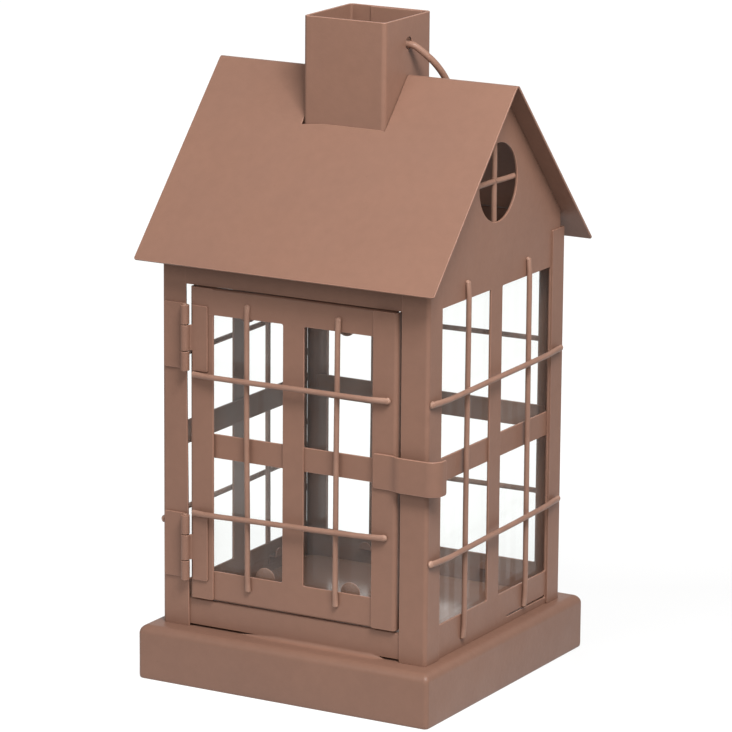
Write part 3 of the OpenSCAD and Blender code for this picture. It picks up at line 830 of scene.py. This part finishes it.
def make_tabs():
    """The bent tabs that hold each pane, at its top and bottom edge."""
    low, high = WINDOW_LOW - PANE_LAP, WINDOW_HIGH + PANE_LAP
    for side in ("right", "left", "back"):
        off = WIRE_OFF[side]
        parts = []
        for s in (-1, 1):
            parts.append(tab(side, s * off, SHEET, low, 1, -1.9, 0.03 * s, 2.5))
            parts.append(tab(side, s * off, SHEET, high, -1, -1.9, -0.02 * s, 2.5))
        finish_piece(side + "_pane_tabs", join(*parts), "lantern", [side + "_glass_tabs"])
    glass_lo, glass_hi = extent("door_glass")
    parts = [tab("door", x, DOOR_SHEET, glass_lo[2], 1, 3.1, 0.03) for x in (-13.7, 21.5)]
    parts += [tab("door", x, DOOR_SHEET, glass_hi[2], -1, 2.2, 0.02) for x in (-21.5, 19)]
    finish_piece("door_pane_tabs", join(*parts), "door", ["door_glass_tabs"])


# ---------------------------------------------------------------- door, hinges, clip


def make_door():
    """Door front with both rails and the mullion from one blank, the strip behind it, the stiles."""
    _, rail_hi = extent("door_top_rail")
    low_lo, low_hi = extent("door_bottom_rail")
    _, mull_hi = extent("door_mullion")
    half, m, fold = rail_hi[0], mull_hi[0], 0.85
    base = low_lo[2] - 0.2
    back = rail_hi[1] - DOOR_Y - fold
    line = route((rail_hi[1], base), 180,
                 [("go", back), ("turn", fold, -90), ("go", rail_hi[2] - base - 2 * fold),
                  ("turn", fold, -90), ("go", back)])
    lift = back + math.pi * fold / 2 - fold - base
    low, high, top = low_hi[2] + lift, mull_hi[2] + lift, line[2]
    r = 0.45
    blank = [(0, -half), (low, -half), (low, -m - r), (low + r, -m), (high - r, -m), (high, -m - r),
             (high, -half), (top, -half), (top, half), (high, half), (high, m + r), (high - r, m),
             (low + r, m), (low, m + r), (low, half), (0, half)]
    bm = bent([blank], -DOOR_SHEET, 0, line, sideways, 0.16, 11)
    stile_lo, stile_hi = extent("door_left_stile")
    flush_end(bm, stile_hi[0], step=DOOR_Y - stile_lo[1] + 0.06, length=28,
              above=mull_hi[2] - 0.2, over=True)
    finish_piece("door_front_sheet", bm, "door",
                 ["door_top_rail", "door_bottom_rail", "door_mullion"])
    lo, hi = extent("door_cross_rail")
    bm = plate("door", [rect(lo[0], hi[0], lo[2], hi[2], 0.4)], lo[1] - DOOR_Y, hi[1] - DOOR_Y, 0.18)
    finish_piece("door_cross_strip", bm, "door", ["door_cross_rail"])
    for s, name in ((-1, "door_left_stile"), (1, "door_right_stile")):
        lo, hi = extent(name)
        wide, deep = hi[0] - lo[0], hi[1] - lo[1]
        outer = hi[0] if s > 0 else -lo[0]
        line = route((outer - wide, lo[1]), 0,
                     [("go", wide - BEND_R), ("turn", BEND_R, 90), ("go", deep - BEND_R)])
        bm = bent([rect(0, line[2], lo[2], hi[2], 0.6)], 0, DOOR_SHEET, line,
                  lambda a, b, v: (s * a, b, v), 0.2, 20)
        finish_piece(name + "_folded", bm, "door", [name])


def make_hinges():
    """Hinge leaves rolled round their pins, two knuckles on the post and one on the door."""
    t, leaf, r, tight, wrap = 0.75, 0.8, KNUCKLE_R, 0.5, 292
    knuckle, gap = 7, 0.35
    for which in ("upper", "lower"):
        lo, hi = extent(which + "_hinge_post_leaf")
        pin_lo, pin_hi = extent(which + "_hinge_pin")
        cx, cy = (pin_lo[0] + pin_hi[0]) / 2, (pin_lo[1] + pin_hi[1]) / 2
        low, high = lo[2], hi[2]
        flat = cx - r - tight - lo[0]
        front = hi[1] - leaf
        line = route((lo[0], front), 0, [("go", flat), ("turn", tight, -90),
                                         ("go", front - tight - cy), ("turn", r, wrap)], 12)
        s0, end = flat - 0.4, line[2]
        m0, m1 = low + knuckle, high - knuckle
        blank = [(0.5, low), (end, low), (end, m0), (s0, m0), (s0, m1), (end, m1), (end, high),
                 (0.5, high), (0, high - 0.5), (0, low + 0.5)]
        bm = bent([blank], 0, t, line, upright, 0.16)
        finish_piece(which + "_hinge_post_leaf_rolled", bm, "lantern", [which + "_hinge_post_leaf"])
        lo, hi = extent(which + "_hinge_door_leaf")
        flat = hi[0] - (cx + r + tight)
        front = extent("door_left_stile")[0][1] - leaf
        line = route((hi[0], front), 180, [("go", flat), ("turn", tight, 90),
                                           ("go", front - tight - cy), ("turn", r, -wrap)], 12)
        s0, end = flat - 0.2, line[2]
        m0, m1 = low + (knuckle + gap), high - (knuckle + gap)
        blank = [(0.5, low), (s0, low), (s0, m0), (end, m0), (end, m1), (s0, m1), (s0, high),
                 (0.5, high), (0, high - 0.5), (0, low + 0.5)]
        bm = bent([blank], -t, 0, line, upright, 0.16)
        finish_piece(which + "_hinge_door_leaf_rolled", bm, "door", [which + "_hinge_door_leaf"])
        pin = tube([(cx, cy, z) for z in (pin_lo[2] + 0.2, low + 4, high - 4, pin_hi[2] - 0.2)],
                   PIN_R, (0, 1, 0), sides=20)
        finish_piece(which + "_hinge_pin_round", pin, "lantern", [which + "_hinge_pin"])


def make_clip():
    """Latch clip: off the stile by a soft step, straight on, then round at its end."""
    lo, hi = extent("latch_clip")
    front = extent("door_right_stile")[0][1] - CLIP_SHEET
    run, step, half_sheet = 6.0, 1.65, CLIP_SHEET / 2
    reach, hook_r, tail = 9.8, 4.85, 2.2
    bend = 2 * math.degrees(math.atan(step / run))
    mid_r = run / (2 * math.sin(math.radians(bend)))
    line = route((lo[0], front), 0,
                 [("go", run), ("turn", mid_r - half_sheet, -bend), ("turn", mid_r + half_sheet, bend),
                  ("go", reach), ("turn", hook_r, 90), ("go", tail)], 6)
    bm = bent([rect(0, line[2], lo[2], hi[2], 0.9)], 0, CLIP_SHEET, line,
              upright, 0.26, 0, 3)
    finish_piece("latch_clip_bent", bm, "door", ["latch_clip"])


# ---------------------------------------------------------------- roof, chimney, bail


def make_roof():
    """Roof folded from one sheet, with a hole cut a little wide of the chimney."""
    span = roof_hi[1]
    pitch = math.atan2(ROOF_RISE, span)
    slope = span / math.cos(pitch) - RIDGE_R * math.tan(pitch)
    line = route((-span, roof_lo[2] + SHEET * math.cos(pitch)), math.degrees(pitch),
                 [("go", slope), ("turn", RIDGE_R, -2 * math.degrees(pitch)), ("go", slope)])
    half_x, half_y = flue_hi[0] + 0.3, flue_hi[1] + 0.1
    s0 = (span - half_y) / math.cos(pitch)
    s1 = line[2] - s0
    hole = [(s0 - 1.0, -half_x), (s0 - 0.9, -half_x + 1.2), (s0 - 0.55, -half_x + 4),
            (s0 - 0.1, -half_x + 8), (s0, -half_x + 9), (s0, half_x - 2), (s0 - 0.4, half_x),
            (s1, half_x), (s1, -half_x)]
    loops = [rect(0, line[2], roof_lo[0], roof_hi[0], 0.8), hole]
    bm = bent(loops, -SHEET, 0, line, sideways, 0.16, 14)
    finish_piece("roof_folded_sheet", bm, "lantern", ["roof"])


def make_chimney():
    """Square flue bent from one strip, with a flap inside behind its seam."""
    half, r = flue_hi[0], 1.7
    run = 2 * (half - r)
    parts = [("go", run / 2)]
    for _ in range(4):
        parts += [("turn", r, -90), ("go", run)]
    parts[-1] = ("go", run / 2)
    line = route((0, half), 0, parts)
    total = line[2]
    low, high = flue_lo[2], flue_hi[2]
    right_s = run / 2 + math.pi * r / 2 + run / 2
    left_s = total - right_s
    loops = [rect(0.02, total - 0.02, low, high)]
    loops += [ring(s, BAIL_AXIS_Z + 0.4, BAIL_HOLE_R, 28) for s in (right_s - 0.35, left_s + 0.35)]
    tube_wall = bent(loops, -SHEET, 0, line, upright, 0.24, 9, 3, 11)
    flap = slab([rect(-7.3, half - 3.2, low + 0.6, high - 0.25)], 0, 0.7, 0.15, 9)
    shape(flap, lambda u, v, w: (u, half - SHEET - 0.08 - w * (1 if u < 8 else 0.6), v))
    finish_piece("chimney_folded_tube", join(tube_wall, flap), "lantern", ["chimney"])


def make_bail():
    """Ring handle: its two short ends pass through the chimney, an elbow each, then the hoop."""
    tilt = math.radians(54.0)
    pin_in, pin_out, elbow, big = 13.4, flue_hi[0] + 0.8, 3.0, 27.0
    elbow_steps, hoop_steps = 8, 44
    turn = math.asin(pin_out / (big - elbow))
    centre = elbow + (big - elbow) * math.cos(turn)
    flat = [(pin_in, 0), (pin_in + 2, 0), (pin_out - 0.6, 0)]
    for i in range(elbow_steps + 1):
        a = turn * i / elbow_steps
        flat.append((pin_out + elbow * math.sin(a), elbow - elbow * math.cos(a)))
    start = turn - math.pi / 2
    for i in range(1, hoop_steps + 1):
        a = start + (math.pi / 2 - start) * i / hoop_steps
        flat.append((big * math.cos(a), centre + big * math.sin(a)))
    flat = flat + [(-x, y) for x, y in reversed(flat[:-1])]
    points = []
    for x, y in flat:
        wave = 0.25 * noise.noise(Vector((x / 18, y / 18, 2.0))) if y > 6 else 0
        points.append((x, y * math.cos(tilt) + wave * math.sin(tilt),
                       BAIL_AXIS_Z - y * math.sin(tilt) + wave * math.cos(tilt)))
    bm = tube(points, BAIL_WIRE_R, (0, math.sin(tilt), math.cos(tilt)), sides=18)
    finish_piece("bail_ring_wire", bm, "bail", ["bail_handle"])


make_base()
make_floor()
for sx in (-1, 1):
    for sy in (-1, 1):
        make_post(sx, sy)
make_walls()
make_front()
make_wires()
make_panes()
make_tabs()
make_door()
make_hinges()
make_clip()
make_roof()
make_chimney()
make_bail()

# ---------------------------------------------------------------- stage and light


def make_stage():
    """White sweep under and behind the lantern, lit by itself and fading towards its sides."""
    g = Graph("backdrop")
    lit = g.add("Emission")
    g.put(lit.inputs["Color"], (1, 1, 1, 1))
    along = g.add("SeparateXYZ")
    g.put(along.inputs[0], g.coords())
    ahead = g.ramp(along.outputs["Y"], -0.21, -0.1, 0.4, 1.0)
    spread = g.math("MULTIPLY", along.outputs["Y"], 0.09)
    aside = g.math("SUBTRACT", g.math("ABSOLUTE", along.outputs["X"], 0.0), spread)
    beside = g.ramp(aside, 0.15, 0.27, 1.0, 0.4)
    sunny = g.math("MULTIPLY", g.ramp(along.outputs["X"], 0.0, 0.08), g.ramp(along.outputs["Y"], 0.3, 0.1))
    strength = g.math("MULTIPLY", g.math("MULTIPLY", ahead, beside), g.ramp(sunny, 0, 1, 0.93, 0.72))
    g.put(lit.inputs["Strength"], strength)
    cloth = g.add("BsdfDiffuse")
    tone = g.mix(g.ramp(g.noise(3, 2, 0.5), 0.3, 0.7), (0.2, 0.2, 0.2, 1), (0.19, 0.19, 0.185, 1))
    g.put(cloth.inputs["Color"], tone)
    both = g.add("AddShader")
    g.put(both.inputs[0], lit.outputs[0])
    g.put(both.inputs[1], cloth.outputs[0])
    g.tree.links.new(both.outputs[0], g.out.inputs[0])
    # The sweep's section as (distance behind the lantern, height), in metres
    bm = bmesh.new()
    rows = [(-1.6, 0.0), (-0.3, 0.0), (0.3, 0.0), (1.6, 0.0)]
    curve = [math.radians(10 * i) for i in range(1, 10)]
    rows += [(1.6 + 0.9 * math.sin(a), 0.9 - 0.9 * math.cos(a)) for a in curve]
    rows += [(2.5, 2.2)]
    strips = [[bm.verts.new((x, y, z - 0.0001)) for x in (-2.4, -0.5, 0.5, 2.4)] for y, z in rows]
    for a, b in zip(strips, strips[1:]):
        for i in range(3):
            bm.faces.new((a[i], a[i + 1], b[i + 1], b[i]))
    mesh = bpy.data.meshes.new("backdrop")
    bm.to_mesh(mesh)
    bm.free()
    mesh.shade_smooth()
    mesh.materials.append(g.mat)
    sweep = bpy.data.objects.new("backdrop", mesh)
    sweep.rotation_euler = (0, 0, math.radians(VIEW_TURN))
    scene.collection.objects.link(sweep)


def softbox(name, place, target, size, power):
    """Square lamp at place, turned towards target; size in metres, power in watts."""
    light = bpy.data.lights.new(name, "AREA")
    light.size = size
    light.energy = power
    obj = bpy.data.objects.new(name, light)
    obj.location = place
    obj.rotation_euler = (Vector(target) - Vector(place)).to_track_quat("-Z", "Y").to_euler()
    scene.collection.objects.link(obj)


def make_light():
    """Even white surroundings and three lamps."""
    world = bpy.data.worlds.new("studio")
    world.use_nodes = True
    back = world.node_tree.nodes["Background"]
    back.inputs["Color"].default_value = (1, 1, 1, 1)
    back.inputs["Strength"].default_value = 0.4
    scene.world = world
    scene.view_settings.view_transform = "Standard"
    softbox("key", (0.47, -0.47, 0.9), (0, 0, 0.12), 0.36, 13.0)
    softbox("near", (0.36, -0.12, 0.47), (0.03, -0.02, 0.2), 0.3, 1.05)
    softbox("front", (-0.2, -1.1, 0.72), (0, 0, 0.14), 0.5, 4.2)


make_stage()
make_light()
